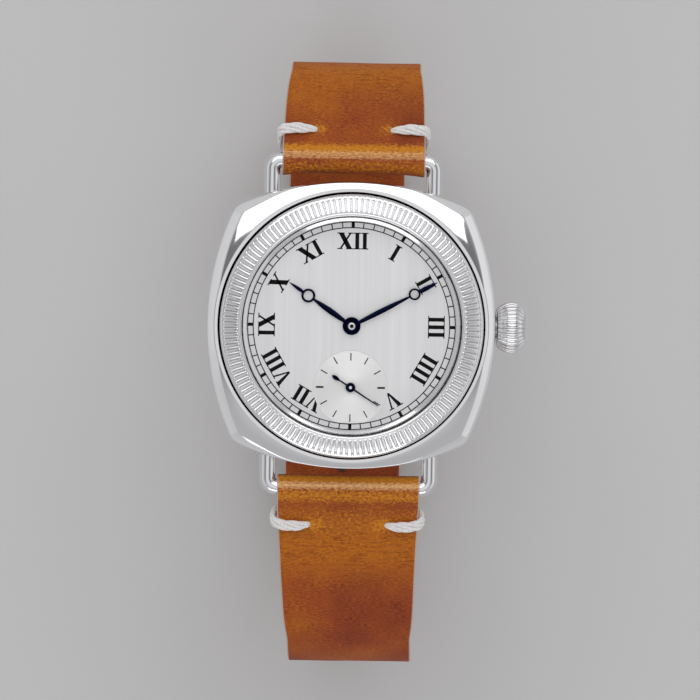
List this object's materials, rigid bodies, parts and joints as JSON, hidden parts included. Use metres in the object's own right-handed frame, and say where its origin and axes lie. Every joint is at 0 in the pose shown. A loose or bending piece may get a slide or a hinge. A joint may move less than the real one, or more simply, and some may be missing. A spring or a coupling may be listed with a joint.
{
  "type": "cushion case wristwatch",
  "caption": "Cushion case wristwatch with fluted round bezel, domed crystal, small seconds dial, onion crown, wire lugs and a buckled leather strap, with its hand-wound movement inside.",
  "frame": {"origin": "centre of the case back's outer face, on the axis of the hour and minute hands", "axes": "+X towards three o'clock and the crown, +Y towards twelve o'clock, +Z out of the dial"},
  "size_m": [0.0398, 0.0781, 0.0511],
  "materials": {
    "polished_steel": "mirror polished stainless steel",
    "fluted_steel": "polished stainless steel with fine fluting",
    "satin_steel": "fine brushed stainless steel",
    "silver_dial": "vertically brushed silver",
    "crystal": "clear domed crystal",
    "blued_steel": "heat-blued polished steel",
    "gasket_rubber": "black sealing rubber",
    "plate_brass": "nickel-plated brass, grained",
    "wheel_brass": "gilt brass wheels",
    "movement_steel": "hardened steel",
    "ruby": "synthetic ruby, polished",
    "leather": "pull-up vegetable-tanned leather, tan",
    "thread": "waxed white thread",
    "buckle_steel": "polished stainless steel"
  },
  "bodies": {
    "watch_head": {"case_middle": "polished_steel", "case_back": "satin_steel", "case_back_gasket": "gasket_rubber", "bezel": "fluted_steel", "crystal": "crystal", "crystal_gasket": "gasket_rubber", "wire_lug_top": "polished_steel", "wire_lug_bottom": "polished_steel", "crown_tube": "satin_steel", "movement_ring": "plate_brass", "main_plate": "plate_brass", "barrel_bridge": "plate_brass", "train_bridge": "plate_brass", "balance_cock": "plate_brass", "pallet_cock": "plate_brass", "bridge_screws": "movement_steel", "case_clamps": "movement_steel", "clamp_screws": "movement_steel", "train_jewels": "ruby", "mainspring": "movement_steel", "crown_wheel_screw": "movement_steel", "hairspring": "movement_steel", "dial": "silver_dial", "strap_short": "leather", "strap_long": "leather", "stitch_top_left": "thread", "stitch_top_right": "thread", "stitch_bottom_left": "thread", "stitch_bottom_right": "thread", "spring_bar": "buckle_steel", "buckle_frame": "buckle_steel", "fixed_keeper": "leather"},
    "winding_set": {"winding_pinion": "movement_steel"},
    "crown_set": {"crown": "polished_steel", "crown_gasket": "gasket_rubber", "stem": "movement_steel"},
    "clutch": {"sliding_pinion": "movement_steel"},
    "lever_body": {"setting_lever": "movement_steel"},
    "yoke_body": {"yoke": "movement_steel"},
    "crown_wheel_body": {"crown_wheel": "movement_steel"},
    "barrel_arbor_body": {"barrel_arbor": "movement_steel", "ratchet_wheel": "movement_steel", "ratchet_screw": "movement_steel"},
    "click_body": {"click": "movement_steel"},
    "barrel_body": {"barrel_drum": "wheel_brass", "barrel_cover": "wheel_brass"},
    "centre_body": {"centre_wheel": "wheel_brass"},
    "third_body": {"third_wheel": "wheel_brass"},
    "seconds_body": {"fourth_wheel": "wheel_brass", "seconds_hand": "blued_steel"},
    "escape_body": {"escape_wheel": "movement_steel"},
    "pallet_body": {"pallet_fork": "movement_steel"},
    "balance_body": {"balance_wheel": "wheel_brass"},
    "minute_body": {"cannon_pinion": "movement_steel", "minute_hand": "blued_steel"},
    "minute_wheel_body": {"minute_wheel": "wheel_brass"},
    "hour_body": {"hour_wheel": "wheel_brass", "hour_hand": "blued_steel"},
    "tongue_body": {"buckle_tongue": "buckle_steel"},
    "loose_keeper_body": {"loose_keeper": "leather"}
  },
  "joints": [
    {"name": "crown_turn", "type": "hinge", "parent": "watch_head", "child": "winding_set", "pos_m": [0.0111, 0, 0.0036], "axis": [1, 0, 0], "continuous": true},
    {"name": "crown_pull", "type": "slide", "parent": "winding_set", "child": "crown_set", "axis": [1, 0, 0], "range_m": [0, 0.001]},
    {"name": "clutch_shift", "type": "slide", "parent": "winding_set", "child": "clutch", "axis": [1, 0, 0], "range_m": [-0.000606, 0]},
    {"name": "setting_lever_swing", "type": "hinge", "parent": "watch_head", "child": "lever_body", "pos_m": [0.0116, 0.0029, 0.0058], "axis": [0, 0, 1], "range_deg": [0, 20.15]},
    {"name": "yoke_swing", "type": "hinge", "parent": "watch_head", "child": "yoke_body", "pos_m": [0.0081, 0.0039, 0.0058], "axis": [0, 0, 1], "range_deg": [-8.99, 0]},
    {"name": "crown_wheel_turn", "type": "hinge", "parent": "watch_head", "child": "crown_wheel_body", "pos_m": [0.0072, 0, 0.00132], "axis": [0, 0, 1], "continuous": true},
    {"name": "ratchet_turn", "type": "hinge", "parent": "watch_head", "child": "barrel_arbor_body", "pos_m": [0.00215, 0.00592, 0.00132], "axis": [0, 0, 1], "continuous": true},
    {"name": "click_lift", "type": "hinge", "parent": "watch_head", "child": "click_body", "pos_m": [0.00365, 0.01214, 0.00132], "axis": [0, 0, 1], "range_deg": [-8, 0], "stiffness_Nm_per_rad": 0.00001},
    {"name": "barrel_turn", "type": "hinge", "parent": "watch_head", "child": "barrel_body", "pos_m": [0.00215, 0.00592, 0.0032], "axis": [0, 0, 1], "continuous": true},
    {"name": "centre_turn", "type": "hinge", "parent": "watch_head", "child": "centre_body", "pos_m": [0, 0, 0.00275], "axis": [0, 0, 1], "continuous": true},
    {"name": "third_turn", "type": "hinge", "parent": "watch_head", "child": "third_body", "pos_m": [0.00326, -0.00431, 0.00355], "axis": [0, 0, 1], "continuous": true},
    {"name": "seconds_turn", "type": "hinge", "parent": "watch_head", "child": "seconds_body", "pos_m": [0, -0.00766, 0.0041], "axis": [0, 0, 1], "continuous": true},
    {"name": "escape_turn", "type": "hinge", "parent": "watch_head", "child": "escape_body", "pos_m": [-0.00413, -0.00616, 0.0036], "axis": [0, 0, 1], "continuous": true},
    {"name": "pallet_rock", "type": "hinge", "parent": "watch_head", "child": "pallet_body", "pos_m": [-0.00606, -0.00441, 0.0036], "axis": [0, 0, 1], "range_deg": [-5, 5]},
    {"name": "balance_swing", "type": "hinge", "parent": "watch_head", "child": "balance_body", "pos_m": [-0.0085, -0.0022, 0.00275], "axis": [0, 0, 1], "range_deg": [-150, 150], "stiffness_Nm_per_rad": 0.000001, "deforming": ["hairspring"]},
    {"name": "minute_turn", "type": "hinge", "parent": "watch_head", "child": "minute_body", "pos_m": [0, 0, 0.0076], "axis": [0, 0, 1], "continuous": true},
    {"name": "minute_wheel_turn", "type": "hinge", "parent": "watch_head", "child": "minute_wheel_body", "pos_m": [0.00282, 0.00103, 0.0055], "axis": [0, 0, 1], "continuous": true},
    {"name": "hour_turn", "type": "hinge", "parent": "watch_head", "child": "hour_body", "pos_m": [0, 0, 0.00715], "axis": [0, 0, 1], "continuous": true},
    {"name": "tongue_swing", "type": "hinge", "parent": "watch_head", "child": "tongue_body", "pos_m": [0, -0.002, -0.037], "axis": [1, 0, 0], "range_deg": [0, 15]},
    {"name": "loose_keeper_slide", "type": "slide", "parent": "watch_head", "child": "loose_keeper_body", "axis": [0, 1, 0], "range_m": [-0.001, 0.0015]}
  ],
  "couplings": [
    {"joint": "clutch_shift", "follows": "crown_pull", "ratio": -0.6},
    {"joint": "setting_lever_swing", "follows": "crown_pull", "rad_per_m": 344.83},
    {"joint": "yoke_swing", "follows": "crown_pull", "rad_per_m": -153.85},
    {"joint": "crown_wheel_turn", "follows": "crown_turn", "ratio": 0.6},
    {"joint": "ratchet_turn", "follows": "crown_turn", "ratio": -0.375},
    {"joint": "third_turn", "follows": "seconds_turn", "ratio": -0.13333},
    {"joint": "centre_turn", "follows": "seconds_turn", "ratio": 0.016667},
    {"joint": "barrel_turn", "follows": "seconds_turn", "ratio": -0.0027778},
    {"joint": "escape_turn", "follows": "seconds_turn", "ratio": -10},
    {"joint": "minute_wheel_turn", "follows": "minute_turn", "ratio": -0.33333},
    {"joint": "hour_turn", "follows": "minute_turn", "ratio": 0.083333}
  ]
}
